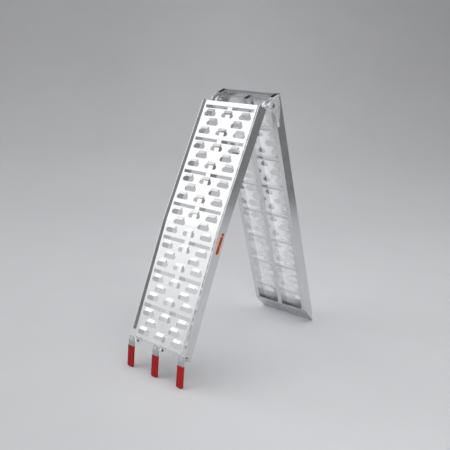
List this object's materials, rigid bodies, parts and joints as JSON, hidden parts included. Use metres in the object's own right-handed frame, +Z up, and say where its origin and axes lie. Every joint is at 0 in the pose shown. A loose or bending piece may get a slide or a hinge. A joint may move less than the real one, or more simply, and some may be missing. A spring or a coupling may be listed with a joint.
{
  "type": "folding loading ramp",
  "caption": "Folding aluminium loading ramp stood up as an A: slotted, toothed treads between side rails, leaves joined by a hinge, rubber-sleeved fingers at the upper end.",
  "frame": {"origin": "centre of the footprint on the floor, under the standing ramp", "axes": "+Z up; +X across the ramp, to the right when facing the hook leaf; +Y from the hook leaf towards the ground leaf"},
  "size_m": [0.312, 0.9236, 1.079],
  "materials": {
    "extruded_aluminium": "mill finish extrusion",
    "tread_aluminium": "bright pressed sheet",
    "bar_aluminium": "mill finish flat bar",
    "plate_aluminium": "mill finish plate",
    "rivet_aluminium": "plain",
    "zinc_plated_steel": "bright zinc plate",
    "red_rubber": "matt, ribbed lengthways",
    "marker_film": "satin film"
  },
  "bodies": {
    "ground_leaf": {"ground_centre_rib": "extruded_aluminium", "ground_foot_plate": "tread_aluminium", "ground_foot_tread": "tread_aluminium", "ground_left_rail": "extruded_aluminium", "ground_plank_1": "tread_aluminium", "ground_plank_2": "tread_aluminium", "ground_plank_3": "tread_aluminium", "ground_plank_4": "tread_aluminium", "ground_plank_5": "tread_aluminium", "ground_plank_6": "tread_aluminium", "ground_plank_7": "tread_aluminium", "ground_right_rail": "extruded_aluminium", "ground_top_bar": "extruded_aluminium", "hinge_plate_left": "plate_aluminium", "hinge_plate_right": "plate_aluminium", "hinge_plate_rivets": "rivet_aluminium", "lock_nut_left": "zinc_plated_steel", "lock_nut_right": "zinc_plated_steel", "pivot_bolt_left": "zinc_plated_steel", "pivot_bolt_right": "zinc_plated_steel", "pivot_spacer_left": "zinc_plated_steel", "pivot_spacer_right": "zinc_plated_steel", "pivot_washers": "zinc_plated_steel"},
    "hook_leaf": {"end_bar_bolts": "zinc_plated_steel", "finger_centre": "bar_aluminium", "finger_left": "bar_aluminium", "finger_right": "bar_aluminium", "finger_rivets": "rivet_aluminium", "finger_sleeve_centre": "red_rubber", "finger_sleeve_left": "red_rubber", "finger_sleeve_right": "red_rubber", "hinge_tongue_left": "plate_aluminium", "hinge_tongue_right": "plate_aluminium", "hinge_tongue_rivets": "rivet_aluminium", "hook_centre_rib": "extruded_aluminium", "hook_end_bar": "extruded_aluminium", "hook_left_rail": "extruded_aluminium", "hook_plank_1": "tread_aluminium", "hook_plank_2": "tread_aluminium", "hook_plank_3": "tread_aluminium", "hook_plank_4": "tread_aluminium", "hook_plank_5": "tread_aluminium", "hook_plank_6": "tread_aluminium", "hook_plank_7": "tread_aluminium", "hook_right_rail": "extruded_aluminium", "hook_top_bar": "extruded_aluminium", "rail_marker": "marker_film"}
  },
  "joints": [
    {"name": "fold_hinge", "type": "hinge", "parent": "ground_leaf", "child": "hook_leaf", "pos_m": [0, 0.0281, 1.03239], "axis": [-1, 0, 0], "range_deg": [-45.36, 134.64]}
  ]
}
